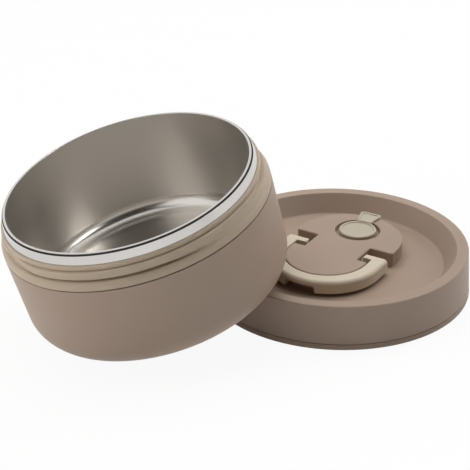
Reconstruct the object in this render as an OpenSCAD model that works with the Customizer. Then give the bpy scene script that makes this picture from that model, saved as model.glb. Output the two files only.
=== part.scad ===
// Insulated stainless bowl leaning over its own lid, which lies flat with its top side up.
// The bowl and the lid stand in line along X. Z is up and the floor is at zero.

/* [Casing] */
// Outer radius of the bowl at the seam under the collar
bowl_r = 74.2; // [66:0.1:90]
// Height of the casing from its foot to the seam
casing_h = 52.6; // [44:0.1:80]
// Draft of the bowl's walls in degrees
wall_draft = 1.7; // [0.5:0.1:4]
// Radius of the rounded bottom edge
base_round = 14.8; // [11:0.1:18]
// Wall thickness of the casing
casing_wall = 2.2; // [1.6:0.1:2.8]
// Width of the foot ring under the casing
foot_w = 5.3; // [4.5:0.1:9]
// Depth of the hollow inside the foot ring
foot_hollow = 1.1; // [0.8:0.1:3.4]

/* [Steel vessel] */
// Thickness of the steel sheet
steel_t = 0.6; // [0.4:0.05:0.8]
// Clear width of the vacuum space at the side
vacuum_side = 2.4; // [1.8:0.1:4]
// Clear height of the vacuum space at the base
vacuum_base = 3.6; // [2:0.1:5]
// Gap between the two steel walls at the neck
neck_gap = 0.1; // [0.05:0.05:0.3]
// Height of the polished neck that shows above the collar
neck_show = 5.7; // [4:0.1:10]
// Width of the rolled lip
lip_w = 3.1; // [2.4:0.1:4]
// Height of the rolled lip
lip_h = 1.2; // [0.9:0.1:1.8]
// Radius of the corner inside the steel bowl
liner_round = 7.5; // [5:0.1:10]
// Radius of the corner under the steel jacket
jacket_round = 10.5; // [8:0.1:12]
// Height of the jacket's bottom cup
cup_h = 16; // [14:0.1:24]
// Thickness of the cushion under the steel vessel
cushion_t = 4.5; // [2:0.1:6]
// Distance from the cushion's edge to the foot ring
cushion_inset = 9; // [4:0.5:20]
// Radius of the evacuation hole
evacuation_r = 2.5; // [1.5:0.1:4]
// Width of the seal-off plug's flange around the hole
seal_flange = 2.5; // [1.5:0.1:4]
// Thickness of the seal-off plug's flange
seal_flange_t = 1.4; // [0.8:0.1:1.8]
// Radius of the getter pill
getter_r = 5; // [3:0.1:7]
// Thickness of the getter pill
getter_t = 1.2; // [0.8:0.1:1.6]
// Distance of the getter pill from the bowl's axis
getter_at = 25; // [16:0.5:36]

/* [Collar] */
// Height of the collar above the seam
collar_h = 12.3; // [11.5:0.1:16]
// Height of the collar's shoulder above the seam
shoulder_h = 5.2; // [4:0.1:5.6]
// Radius of the shoulder's rounded edge
shoulder_round = 2.4; // [1.5:0.1:3]
// Wall of the collar at the root of its thread
collar_wall = 2.1; // [1.7:0.1:2.3]
// Chamfer of the collar's top edge
collar_chamfer = 0.8; // [0.3:0.1:1.2]
// Length of the collar's straight bore on the neck
bore_h = 5; // [4:0.1:6]
// Height of the collar's cone below that bore
cone_h = 4.9; // [4:0.1:6]
// Depth of the tongue that enters the casing
tongue_h = 6; // [4:0.1:10]
// Thickness of that tongue
tongue_t = 1.2; // [0.8:0.1:1.6]
// Height of the silicone ring on the neck
seal_h = 2; // [1.4:0.1:2.6]
// Depth of the silicone ring's groove
seal_groove = 0.6; // [0.4:0.1:0.8]

/* [Thread] */
// Rise of the thread in one full turn
thread_lead = 9; // [6:0.1:10]
// Angle that each start of the thread covers, in degrees
thread_span = 150; // [120:1:156]
// Depth of the thread
thread_depth = 1.9; // [1.2:0.1:2.1]
// Width of the thread at its root
thread_w = 2.6; // [2:0.1:2.8]
// Width of the thread at its crest
thread_crest = 1.2; // [0.6:0.1:1.6]
// Direction of the middle of the first start on the bowl, in degrees
thread_mid = -100; // [-180:1:180]
// Radial gap between the threads of bowl and lid
thread_gap = 0.35; // [0.2:0.05:0.5]

/* [Lid] */
// Height of the lid
lid_h = 25.4; // [24:0.1:30]
// Wall of the lid at its lower edge
lid_wall = 2.35; // [2:0.05:3]
// Draft of the lid's outer wall in degrees
lid_draft = 3.4; // [1:0.1:3.6]
// Width of the flat rim on top
rim_w = 5.8; // [5:0.1:7]
// Bevel of the rim's outer edge
rim_bevel = 0.8; // [0.3:0.1:1.2]
// Depth of the recess in the top
recess_depth = 10.8; // [9:0.1:12]
// Width of the sloping wall of the recess, seen from above
slope_w = 7.2; // [6.5:0.1:8]
// Thickness of the lid's floor and sloping wall
floor_t = 1.8; // [1.4:0.1:2]
// Height of the groove line above the lower edge
band_h = 3; // [2:0.1:5]
// Width and depth of the groove line
groove_w = 0.4; // [0.2:0.05:0.6]

/* [Lid inside] */
// Thickness of the lid's inner cover
liner_t = 1.4; // [1:0.1:1.8]
// Height of the inner cover's underside above the lid's lower edge
liner_z = 5; // [4.6:0.1:6]
// Gap between the inner cover and the bowl's mouth
plug_gap = 1.9; // [1.2:0.1:2.2]
// Thickness of the gasket
gasket_t = 3; // [2:0.1:4]
// Inset of the foam disc from the edge of the recess
foam_inset = 3; // [2.6:0.1:8]

/* [Boss] */
// Direction of the boss's long axis, in degrees
boss_turn = 38.3; // [0:0.1:90]
// Radius of the boss's round back end
boss_r = 30.6; // [29:0.1:32]
// Distance of the round ends' centres from the lid's axis
boss_shift = 13.1; // [12:0.1:15]
// Drop of the boss's top below the rim
boss_drop = 1.65; // [0.5:0.05:2]
// Wall thickness of the boss
boss_wall = 1.8; // [1.2:0.1:2.2]
// Distance from the handle's pivot to the back wall of the slots
slot_back = 9.8; // [8:0.1:11]
// Distance from the handle's pivot to the front wall of the slots
slot_front = 6.3; // [5.4:0.1:7]
// Distance from the long axis to the inner wall of the slots
slot_in = 16.7; // [15.5:0.1:17.5]

/* [Handle] */
// Width of the handle, seen from above
handle_w = 8.2; // [7:0.1:9]
// Amount by which the handle stands out past the boss
handle_proud = 1.2; // [0:0.1:2]
// Height of the handle
handle_h = 7.5; // [6.5:0.1:8]
// Radius of the handle's outer top edge
handle_round = 2.4; // [1:0.1:3]
// Gap between the handle and the boss
handle_gap = 0.3; // [0.2:0.05:0.5]
// Distance from the lid's axis to the handle's pivot
pivot_at = 2.3; // [2:0.1:4]
// Width of the pegs at the ends of the handle
peg_w = 4.6; // [4.2:0.1:6]
// Gap between the pegs and the inner walls of the slots
peg_gap = 1.5; // [0.5:0.1:2]
// Radius of the pivot pins
pin_r = 1.6; // [1.2:0.1:2]
// Radial running clearance of the pivot pins
pin_fit = 0.05; // [0.02:0.01:0.1]
// Width of the finger notch under the handle
notch_w = 18.2; // [14:0.1:22]
// Height of the finger notch
notch_h = 4; // [3:0.1:4.5]
// Radius of the finger notch's corners
notch_round = 1.6; // [0.8:0.1:2.4]

/* [Vent plug] */
// Distance of the plug from the lid's axis
plug_at = 24; // [22:0.1:25]
// Radius of the plug's disc
plug_r = 10.2; // [8:0.1:10.4]
// Gap between the disc and its round pocket
pocket_gap = 2.7; // [2:0.1:3]
// Depth of the pocket
pocket_depth = 3; // [2.4:0.1:3.6]
// Height of the disc above the boss
plug_proud = 0.1; // [0.1:0.05:1]
// Height of the disc's raised rim
plug_rim_h = 0.4; // [0.2:0.05:0.8]
// Width of the disc's raised rim
plug_rim_w = 1.5; // [1:0.1:2]
// Radius of the vent bore
vent_r = 4.5; // [3:0.1:5]
// Radial clearance of the plug's stem in the bore
stem_fit = 0.1; // [0.05:0.01:0.2]
// Length of the plug's stem
stem_l = 7; // [5:0.1:9]
// Angle that the plug is turned by about its own axis, in degrees
plug_turn = 6; // [-20:1:20]
// Half width of the pull tab where it leaves the disc
tab_in = 5.2; // [4:0.1:6]
// Half width of the pull tab at its outer end
tab_out = 7.6; // [5:0.1:9]
// Reach of the pull tab from the plug's axis
tab_reach = 22.4; // [18:0.1:24]
// Thickness of the pull tab
tab_t = 1.1; // [0.8:0.1:1.8]
// Gap between the pull tab and the boss
tab_gap = 0.15; // [0.1:0.05:0.4]
// Radius of the pull tab's outer corners
tab_round = 1.6; // [0.6:0.1:2.4]

/* [Arrangement] */
// Angle that the bowl leans by, in degrees
lean = 15.4; // [13:0.1:18]
// Gap between the leaning bowl and the lid's rim
lean_gap = 0.3; // [0.2:0.05:1]

/* [Hidden] */
$fn = 96;
steel = "#b9b6b0";
taupe = "#8f7c6c";
beige = "#c3b6a2";
silicone = "#c4bda9";
white = "#e8e6e0";

// Steps of a drawn arc, overrun of cuts and depths by which joined shapes bite into each other
arc_steps = 10;
overrun = 1;
bite = 0.5;
thread_bite = 0.9;
// Gaps of pieces that are pushed together, and of the collar and the tongue
push_fit = 0.05;
collar_fit = 0.3;
jacket_gap = 0.45;
// Height of the closed lid's edge above the collar's shoulder
seat_gap = 0.4;
// Starts of the thread
starts = 2;
// Small shapes: lip's inner edge, shoulder's draft, seal below the collar's top, gap round the seal-off plug
lip_edge = 0.4;
shoulder_in = 0.3;
seal_drop = 1.4;
cushion_gap = 2;
// Lid's inner cover: corner radius, rib behind the gasket, and how far the gasket passes the steel lip
liner_corner = 2;
rib_w = 1.5;
rib_inset = 1;
gasket_over = 0.5;
// Upper wall of the lid, edge of the plug, its pointed stem and the free end of a pivot pin
upper_wall = 1.7;
plug_edge = 0.4;
stem_chamfer = 0.8;
pin_end = 0.2;

// Points of an arc about a centre, from one angle to another
function arc(centre, r, from, to) =
    [for (i = [0:arc_steps]) let (a = from + (to - from) * i / arc_steps) centre + r * [cos(a), sin(a)]];

// Heights on the bowl, from its foot up
collar_top = casing_h + collar_h;
lip_under = collar_top + neck_show;
bowl_h = lip_under + lip_h;
casing_floor = foot_hollow + casing_wall;
jacket_z = casing_floor + cushion_t;
jacket_floor = jacket_z + steel_t;
liner_under = jacket_floor + vacuum_base;
liner_floor = liner_under + steel_t;
cup_top = jacket_z + cup_h;
cone_top = collar_top - bore_h;
cone_low = cone_top - cone_h;
seal_top = collar_top - seal_drop;

// Radii on the bowl, from the casing inwards and from the neck outwards again
casing_in_r = bowl_r - casing_wall / cos(wall_draft);
tongue_r = casing_in_r - push_fit;
tongue_in_r = tongue_r - tongue_t;
jacket_r = tongue_in_r - jacket_gap;
mouth_r = jacket_r - steel_t - vacuum_side - steel_t;
neck_in_r = mouth_r + steel_t + neck_gap;
neck_r = neck_in_r + steel_t;
bore_r = neck_r + collar_fit;
root_r = bore_r + collar_wall;
crest_r = root_r + thread_depth;
shoulder_r = bowl_r - shoulder_in - shoulder_round;
cove_r = shoulder_r - root_r;

// Drafted walls of casing, jacket and liner, and the centres of their bottom corners
function casing_r(z) = bowl_r - (casing_h - z) * tan(wall_draft);
function jacket_wall_r(z) = jacket_r - (casing_h - z) * tan(wall_draft);
function liner_wall_r(z) = mouth_r - (bowl_h - z) * tan(wall_draft);
base_r = casing_r(base_round) - base_round / cos(wall_draft);
cup_r = jacket_wall_r(jacket_z + jacket_round) - jacket_round / cos(wall_draft);
liner_r = liner_wall_r(liner_floor + liner_round) - liner_round / cos(wall_draft);
foot_in_r = base_r - foot_w;
cushion_r = foot_in_r - cushion_inset;
tongue_draft = tongue_h * tan(wall_draft);

// Radii and heights of the lid
skirt_r = crest_r + thread_gap;
thread_in_r = root_r + thread_gap;
lid_r = skirt_r + lid_wall;
function lid_wall_r(z) = lid_r - z * tan(lid_draft);
rim_r = lid_wall_r(lid_h) - rim_bevel;
rim_in_r = rim_r - rim_w;
recess_r = rim_in_r - slope_w;
recess_z = lid_h - recess_depth;
floor_z = recess_z - floor_t;
rim_under = lid_h - floor_t;
slope_shift = floor_t * tan(atan(recess_depth / slope_w) / 2);
skirt_h = collar_h - shoulder_h + seat_gap;
gasket_z = bowl_h - casing_h - shoulder_h - seat_gap;
gasket_top = gasket_z + gasket_t;
gasket_r = mouth_r + lip_w + gasket_over;
liner_out_r = mouth_r - plug_gap;
liner_in_r = liner_out_r - liner_t;
rib_r = gasket_r - rib_inset;
foam_r = recess_r - foam_inset;

// Underside of the recess's sloping wall, as a height at a radius and as a radius at a height
under_r = recess_r + slope_shift;
function under_slope_z(r) = floor_z + (r - under_r) * recess_depth / slope_w;
function under_slope_r(z) = under_r + (z - floor_z) * slope_w / recess_depth;

// Boss, handle and vent plug, along the boss's long axis
boss_top = lid_h - boss_drop;
handle_out_r = boss_r + handle_proud;
handle_in_r = handle_out_r - handle_w;
boss_front_r = handle_in_r - handle_gap;
handle_z = boss_top - handle_h;
pivot_z = boss_top - handle_h / 2;
pivot_x = -pivot_at;
slot_back_x = pivot_x + slot_back;
slot_front_x = pivot_x - slot_front;
arm_end_x = pivot_x + peg_w / 2;
peg_y = slot_in + peg_gap;
pocket_r = plug_r + pocket_gap;
pocket_z = boss_top - pocket_depth;
plug_z = pocket_z + push_fit;
plug_top = boss_top + plug_proud;
tab_z = boss_top + tab_gap;

// Tilt of a thread start that gives it the lead over its span
thread_rise = thread_lead * thread_span / 360;
thread_tilt = atan(thread_rise / 2 / (root_r * sin(thread_span / 2)));

// Lean of the bowl: its lowest corner is on the floor, and its foot ring clears the lid's rim
bowl_z = base_r * sin(lean) + base_round * (1 - cos(lean));
rim_clear_z = lid_h + lean_gap / cos(lean) - bowl_z;
hollow_x = (rim_clear_z - foot_hollow / cos(lean)) / tan(lean);
foot_x = rim_clear_z / tan(lean);
foot_y = sqrt(pow(foot_in_r - lean_gap, 2) - pow(foot_x / cos(lean), 2));
lid_span = max(hollow_x + rim_r, foot_x + sqrt(pow(rim_r, 2) - pow(foot_y, 2)));

// Left reach of the leaning bowl, from the centres and radii of its outermost edges
edges = [[mouth_r + lip_w - lip_h / 2, bowl_h - lip_h / 2, lip_h / 2],
         [shoulder_r, casing_h + shoulder_h - shoulder_round, shoulder_round],
         [bowl_r, casing_h, 0],
         [base_r, base_round, base_round]];
left_reach = max([for (e = edges) e[0] * cos(lean) + e[1] * sin(lean) + e[2]]);
bowl_x = (left_reach - lid_span - lid_r) / 2;
lid_x = bowl_x + lid_span;

module on_bowl() { translate([bowl_x, 0, bowl_z]) rotate([0, -lean, 0]) children(); }
module on_lid() { translate([lid_x, 0, 0]) children(); }
module on_boss() { on_lid() rotate([0, 0, boss_turn]) children(); }

// One start of the thread between two radii, its flanks running on into the wall, tilted to rise to the right
module thread_start(root, crest, outward) {
    back = root - outward * thread_bite;
    flank_share = thread_bite / thread_depth;
    back_w = thread_w + (thread_w - thread_crest) * flank_share;
    ridge = [[back, -back_w / 2], [crest, -thread_crest / 2], [crest, thread_crest / 2], [back, back_w / 2]];
    rotate([thread_tilt, 0, 0])
        rotate([0, 0, -thread_span / 2])
            rotate_extrude(angle = thread_span) polygon(ridge);
}

module thread(root, crest, outward) {
    for (i = [0:starts - 1]) rotate([0, 0, thread_mid + i * 360 / starts]) thread_start(root, crest, outward);
}

module inner_liner() {
    corner = [liner_r, liner_floor + liner_round];
    bead = [mouth_r + lip_w - lip_h / 2, bowl_h - lip_h / 2];
    outline = concat(
        [[0, liner_floor]],
        arc(corner, liner_round, -90, -wall_draft),
        arc([mouth_r + lip_edge, bowl_h - lip_edge], lip_edge, 180, 90),
        arc(bead, lip_h / 2, 90, -90),
        [[liner_wall_r(lip_under) + steel_t, lip_under]],
        arc(corner, liner_round + steel_t, -wall_draft, -90),
        [[0, liner_under]]);
    color(steel) on_bowl() rotate_extrude() polygon(outline);
}

module steel_jacket() {
    outline = [[jacket_wall_r(cup_top), cup_top], [jacket_wall_r(cone_low), cone_low], [neck_r, cone_top],
               [neck_r, lip_under], [neck_in_r, lip_under], [neck_in_r, cone_top],
               [jacket_wall_r(cone_low) - steel_t, cone_low], [jacket_wall_r(cup_top) - steel_t, cup_top]];
    color(steel) on_bowl() rotate_extrude() polygon(outline);
}

module jacket_bottom() {
    corner = [cup_r, jacket_z + jacket_round];
    outline = concat(
        [[evacuation_r, jacket_z]],
        arc(corner, jacket_round, -90, -wall_draft),
        [[jacket_wall_r(cup_top), cup_top], [jacket_wall_r(cup_top) - steel_t, cup_top]],
        arc(corner, jacket_round - steel_t, -wall_draft, -90),
        [[evacuation_r, jacket_floor]]);
    color(steel) on_bowl() rotate_extrude() polygon(outline);
}

module getter() {
    color("dimgray") on_bowl() translate([getter_at, 0, jacket_floor]) cylinder(r = getter_r, h = getter_t);
}

module seal_off_plug() {
    color("gray") on_bowl() {
        translate([0, 0, jacket_z - seal_flange_t])
            cylinder(r = evacuation_r + seal_flange, h = seal_flange_t);
        translate([0, 0, jacket_z - seal_flange_t])
            cylinder(r = evacuation_r - push_fit, h = seal_flange_t + steel_t);
    }
}

module neck_seal() {
    inner = neck_r + push_fit;
    outer = bore_r + seal_groove - push_fit;
    color(silicone) on_bowl()
        translate([0, 0, seal_top - seal_h + push_fit])
            rotate_extrude() translate([inner, 0]) square([outer - inner, seal_h - 2 * push_fit]);
}

module thread_collar() {
    shoulder_top = casing_h + shoulder_h;
    groove_r = bore_r + seal_groove;
    outline = concat(
        [[bore_r, collar_top], [root_r - collar_chamfer, collar_top], [root_r, collar_top - collar_chamfer]],
        arc([shoulder_r, shoulder_top + cove_r], cove_r, 180, 270),
        arc([shoulder_r, shoulder_top - shoulder_round], shoulder_round, 90, 0),
        [[bowl_r, casing_h], [tongue_r, casing_h], [tongue_r - tongue_draft, casing_h - tongue_h],
         [tongue_in_r - tongue_draft, casing_h - tongue_h], [tongue_in_r, casing_h], [tongue_in_r, cone_low],
         [bore_r, cone_top], [bore_r, seal_top - seal_h], [groove_r, seal_top - seal_h],
         [groove_r, seal_top], [bore_r, seal_top]]);
    color(beige) on_bowl() {
        rotate_extrude() polygon(outline);
        translate([0, 0, (shoulder_top + collar_top) / 2]) thread(root_r, crest_r, 1);
    }
}

module outer_casing() {
    corner = [base_r, base_round];
    groove_r = foot_in_r + casing_wall;
    outline = concat(
        [[0, foot_hollow], [foot_in_r, foot_hollow], [foot_in_r, 0]],
        arc(corner, base_round, -90, -wall_draft),
        [[bowl_r, casing_h], [casing_in_r, casing_h]],
        arc(corner, base_round - casing_wall, -wall_draft, -90),
        [[groove_r, casing_wall], [groove_r, casing_floor], [0, casing_floor]]);
    color(taupe) on_bowl() rotate_extrude() polygon(outline);
}

module base_cushion() {
    inner = evacuation_r + seal_flange + cushion_gap;
    color("dimgray") on_bowl()
        translate([0, 0, casing_floor])
            rotate_extrude() translate([inner, 0]) square([cushion_r - inner, cushion_t]);
}

// Oval of the boss: two round ends on the long axis, joined by straight sides
module oval(r) {
    for (side = [-1, 1]) translate([side * boss_shift, 0]) circle(r);
    translate([-boss_shift, -r]) square([2 * boss_shift, 2 * r]);
}

// Outline of the boss with its two slots, drawn smaller all round by an inset
module boss_outline(inset) {
    half = slot_in - inset;
    intersection() {
        oval(boss_r - inset);
        translate([slot_back_x + inset, -lid_r]) square([lid_r, 2 * lid_r]);
    }
    intersection() {
        oval(boss_front_r - inset);
        translate([slot_front_x - inset - lid_r, -lid_r]) square([lid_r, 2 * lid_r]);
    }
    translate([slot_front_x - inset - overrun, -half])
        square([slot_back_x - slot_front_x + 2 * inset + 2 * overrun, 2 * half]);
}

// Space under the boss's top, around the vent plug's pocket and its tube
module boss_hollow() {
    difference() {
        translate([0, 0, floor_z - overrun])
            linear_extrude(height = boss_top - boss_wall - floor_z + overrun) boss_outline(boss_wall);
        translate([plug_at, 0, pocket_z - boss_wall]) cylinder(r = pocket_r + boss_wall, h = lid_h);
        translate([plug_at, 0, floor_z - 2 * overrun]) cylinder(r = vent_r + boss_wall, h = lid_h);
    }
}

module lid_shell() {
    outline = concat(
        [[skirt_r, 0], [lid_r, 0], [lid_wall_r(band_h - groove_w / 2), band_h - groove_w / 2],
         [lid_wall_r(band_h) - groove_w, band_h], [lid_wall_r(band_h + groove_w / 2), band_h + groove_w / 2]],
        arc([rim_r, lid_h - rim_bevel], rim_bevel, 0, 90),
        [[rim_in_r, lid_h], [recess_r, recess_z], [0, recess_z], [0, floor_z],
         [under_r, floor_z], [under_slope_r(rim_under), rim_under],
         [lid_wall_r(rim_under) - upper_wall, rim_under], [skirt_r, skirt_h]]);
    color(taupe) on_lid() {
        difference() {
            union() {
                rotate_extrude() polygon(outline);
                rotate([0, 0, boss_turn])
                    translate([0, 0, recess_z - floor_t / 2])
                        linear_extrude(height = boss_top - recess_z + floor_t / 2) boss_outline(0);
            }
            rotate([0, 0, boss_turn]) {
                boss_hollow();
                translate([plug_at, 0, pocket_z]) cylinder(r = pocket_r, h = lid_h);
                translate([plug_at, 0, floor_z - overrun]) cylinder(r = vent_r, h = lid_h);
                translate([pivot_x, slot_in + overrun, pivot_z])
                    rotate([90, 0, 0]) cylinder(r = pin_r + pin_fit, h = 2 * (slot_in + overrun));
            }
        }
        translate([0, 0, gasket_top])
            rotate_extrude() translate([rib_r - rib_w, 0]) square([rib_w, lid_h - floor_t / 2 - gasket_top]);
        translate([0, 0, skirt_h / 2]) thread(skirt_r, thread_in_r, -1);
    }
}

module lid_liner() {
    corner = [liner_out_r - liner_corner, liner_z + liner_corner];
    outer_top = under_slope_z(liner_out_r) - push_fit;
    inner_top = under_slope_z(liner_in_r) - push_fit;
    outline = concat(
        [[0, liner_z]],
        arc(corner, liner_corner, -90, 0),
        [[liner_out_r, outer_top], [liner_in_r, inner_top], [liner_in_r, liner_z + liner_t],
         [0, liner_z + liner_t]]);
    color(white) on_lid() difference() {
        union() {
            rotate_extrude() polygon(outline);
            rotate([0, 0, boss_turn])
                translate([plug_at, 0, liner_z + liner_t / 2])
                    cylinder(r = vent_r + boss_wall, h = floor_z - liner_z - liner_t / 2);
        }
        rotate([0, 0, boss_turn])
            translate([plug_at, 0, liner_z - overrun]) cylinder(r = vent_r, h = lid_h);
    }
}

module lid_foam() {
    under = liner_z + liner_t;
    color("white") on_lid() difference() {
        translate([0, 0, under]) cylinder(r = foam_r, h = floor_z - under);
        rotate([0, 0, boss_turn])
            translate([plug_at, 0, under - overrun])
                cylinder(r = vent_r + boss_wall + collar_fit, h = lid_h);
    }
}

module lid_gasket() {
    inner = max(liner_out_r, under_slope_r(gasket_top)) + push_fit;
    color(silicone) on_lid()
        translate([0, 0, gasket_z])
            rotate_extrude() translate([inner, 0]) square([gasket_r - inner, gasket_t]);
}

// Cross-section of the handle, from its inner to its outer radius
module handle_section() {
    polygon(concat(
        [[handle_in_r, boss_top], [handle_in_r, handle_z], [handle_out_r, handle_z]],
        arc([handle_out_r - handle_round, boss_top - handle_round], handle_round, 0, 90)));
}

module handle() {
    notch_top = handle_z + notch_h;
    notch_half = notch_w / 2;
    notch_x = -boss_shift - handle_out_r - overrun;
    notch_l = handle_w + notch_half;
    color(beige) on_boss() {
        difference() {
            translate([-boss_shift, 0, 0]) rotate([0, 0, 90]) rotate_extrude(angle = 180) handle_section();
            translate([notch_x, -notch_half, handle_z - overrun])
                cube([notch_l, notch_w, notch_h - notch_round + overrun]);
            translate([notch_x, notch_round - notch_half, handle_z - overrun])
                cube([notch_l, notch_w - 2 * notch_round, notch_h + overrun]);
            for (side = [-1, 1])
                translate([notch_x, side * (notch_half - notch_round), notch_top - notch_round])
                    rotate([0, 90, 0]) cylinder(r = notch_round, h = notch_l);
        }
        for (side = [0, 1]) mirror([0, side, 0]) {
            translate([-boss_shift, 0, 0])
                rotate([90, 0, 90]) linear_extrude(height = boss_shift + arm_end_x) handle_section();
            translate([pivot_x - peg_w / 2, peg_y, handle_z])
                cube([peg_w, handle_in_r - peg_y + bite, handle_h]);
            translate([pivot_x, slot_in - boss_wall + pin_end, pivot_z])
                rotate([-90, 0, 0]) cylinder(r = pin_r, h = peg_gap + boss_wall - pin_end + bite);
        }
    }
}

module vent_plug() {
    rim_top = plug_top + plug_rim_h;
    stem_r = vent_r - stem_fit;
    stem_z = plug_z - stem_l;
    disc = concat(
        [[0, stem_z], [stem_r - stem_chamfer, stem_z], [stem_r, stem_z + stem_chamfer],
         [stem_r, plug_z], [plug_r - plug_edge, plug_z], [plug_r, plug_z + plug_edge]],
        arc([plug_r - plug_edge, rim_top - plug_edge], plug_edge, 0, 90),
        [[plug_r - plug_rim_w, rim_top], [plug_r - plug_rim_w, plug_top], [0, plug_top]]);
    tab_start = plug_r - plug_rim_w;
    corner_x = tab_reach - tab_round;
    corner_y = tab_out - tab_round;
    color(silicone) on_boss() translate([plug_at, 0, 0]) rotate([0, 0, plug_turn]) {
        rotate_extrude() polygon(disc);
        translate([0, 0, tab_z])
            linear_extrude(height = tab_t)
                polygon(concat(
                    [[tab_start, tab_in], [tab_start, -tab_in]],
                    arc([corner_x, -corner_y], tab_round, -90, 0),
                    arc([corner_x, corner_y], tab_round, 0, 90)));
    }
}

inner_liner();
steel_jacket();
jacket_bottom();
getter();
seal_off_plug();
neck_seal();
thread_collar();
outer_casing();
base_cushion();
lid_shell();
lid_liner();
lid_foam();
lid_gasket();
handle();
vent_plug();
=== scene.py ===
import math
import bpy
import bmesh
from mathutils import Matrix, Vector
from mathutils.geometry import tessellate_polygon


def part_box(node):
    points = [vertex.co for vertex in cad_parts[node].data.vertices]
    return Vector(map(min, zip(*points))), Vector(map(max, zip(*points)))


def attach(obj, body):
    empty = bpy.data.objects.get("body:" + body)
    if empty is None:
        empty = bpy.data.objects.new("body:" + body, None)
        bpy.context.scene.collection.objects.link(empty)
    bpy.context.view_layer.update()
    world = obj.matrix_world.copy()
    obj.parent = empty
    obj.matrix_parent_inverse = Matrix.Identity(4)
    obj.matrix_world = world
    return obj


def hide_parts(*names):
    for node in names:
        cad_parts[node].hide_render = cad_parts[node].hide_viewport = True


# Insulated steel bowl leaning over its lid
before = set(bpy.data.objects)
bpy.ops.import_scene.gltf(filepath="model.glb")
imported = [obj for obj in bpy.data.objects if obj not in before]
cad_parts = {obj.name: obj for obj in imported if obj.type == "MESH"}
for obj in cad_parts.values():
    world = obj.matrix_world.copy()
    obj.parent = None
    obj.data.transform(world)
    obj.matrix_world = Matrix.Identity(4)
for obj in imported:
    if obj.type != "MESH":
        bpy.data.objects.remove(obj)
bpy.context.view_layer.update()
mm = 0.001  # sizes are in millimetres until a point becomes a vertex; only the studio is in metres
perMetre = 1000  # divided by a pattern's size in millimetres, this gives its scale
bpy.context.scene.view_settings.view_transform = "Standard"
print("frame loaded")

# How near counts as the same place: on an axis, along an outline, in a mesh, on a row, on a threaded wall
near = {"axis": 1e-6, "outline": 1e-4, "mesh": 0.002, "row": 0.01, "wall": 0.02}
arcSteps = {"degrees": 10, "least": 3}
flatWeight = 80  # how strongly large flat faces hold the shading beside their fillets

# Where the two halves stand: the bowl's seam edge and the lid's round wall give their places in the frame
bowlPlace = {"lean": 15.4, "seamRadius": 74.2, "seamHeight": 52.6, "draft": 1.7}
lidPlace = {"bossTurn": 38.3, "plugAt": 24.0, "plugTurn": 6.0, "pivotAt": -2.3, "pivotUp": 20.0}

lean = math.radians(bowlPlace["lean"])
casingLow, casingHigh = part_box("outer_casing")
seamAcross = bowlPlace["seamRadius"] * math.cos(lean) + bowlPlace["seamHeight"] * math.sin(lean)
seamUp = bowlPlace["seamRadius"] * math.sin(lean) + bowlPlace["seamHeight"] * math.cos(lean)
bowlFoot = Vector((casingLow.x + seamAcross * mm, 0, casingHigh.z - seamUp * mm))
onBowl = Matrix.Translation(bowlFoot) @ Matrix.Rotation(-lean, 4, "Y")
lidLow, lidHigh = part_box("lid_shell")
lidCentre = Vector(((lidLow.x + lidHigh.x) / 2, (lidLow.y + lidHigh.y) / 2, 0))
onBoss = Matrix.Translation(lidCentre) @ Matrix.Rotation(math.radians(lidPlace["bossTurn"]), 4, "Z")
onPlug = (onBoss @ Matrix.Translation((lidPlace["plugAt"] * mm, 0, 0))
          @ Matrix.Rotation(math.radians(lidPlace["plugTurn"]), 4, "Z"))
wallSlope = math.tan(math.radians(bowlPlace["draft"]))


def toLinear(code):
    # The sRGB curve, from a hex colour to the linear values that shaders take
    channels = [int(code[i:i + 2], 16) / 255 for i in (1, 3, 5)]
    return [c / 12.92 if c <= 0.04045 else ((c + 0.055) / 1.055) ** 2.4 for c in channels] + [1.0]


def addNode(tree, kind, settings=None, links=None):
    node = tree.nodes.new(kind)
    for key, value in (settings or {}).items():
        if key in node.inputs:
            node.inputs[key].default_value = value
        else:
            setattr(node, key, value)
    for key, source in (links or {}).items():
        tree.links.new(source, node.inputs[key])
    return node


def newMaterial(name):
    material = bpy.data.materials.new(name)
    material.use_nodes = True
    material.node_tree.nodes.clear()
    return material, material.node_tree


# Outline drawing: corners are (across, up, radius), and each corner becomes an arc of its radius
def roundCorners(corners, closed=True, degreesPerStep=arcSteps["degrees"]):
    path = []
    for i, (x, y, radius) in enumerate(corners):
        here = Vector((x, y))
        isEnd = not closed and i in (0, len(corners) - 1)
        before = Vector(corners[i - 1][:2]) - here
        after = Vector(corners[(i + 1) % len(corners)][:2]) - here
        if isEnd or radius <= 0:
            path.append(here)
            continue
        before.normalize()
        after.normalize()
        half = before.angle(after) / 2
        centre = here + (before + after).normalized() * (radius / math.sin(half))
        start = here + before * (radius / math.tan(half)) - centre
        end = here + after * (radius / math.tan(half)) - centre
        fromAngle = math.atan2(start.y, start.x)
        turn = (math.atan2(end.y, end.x) - fromAngle + math.pi) % (2 * math.pi) - math.pi
        steps = max(arcSteps["least"], math.ceil(abs(math.degrees(turn)) / degreesPerStep))
        for k in range(steps + 1):
            angle = fromAngle + turn * k / steps
            path.append(centre + radius * Vector((math.cos(angle), math.sin(angle))))
    kept = [p for i, p in enumerate(path) if i == 0 or (p - path[i - 1]).length > near["outline"]]
    if closed and (kept[0] - kept[-1]).length < near["outline"]:
        kept.pop()
    return kept


def finerBetween(path, radius, step):
    # Splits the straight stretch at one radius, where a thread needs many rows
    finer = [path[0]]
    for p in path[1:]:
        last = finer[-1]
        if abs(last.x - radius) < near["wall"] and abs(p.x - radius) < near["wall"]:
            count = max(1, math.ceil((p - last).length / step))
            finer += [last.lerp(p, k / count) for k in range(1, count)]
        finer.append(p)
    return finer


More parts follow.
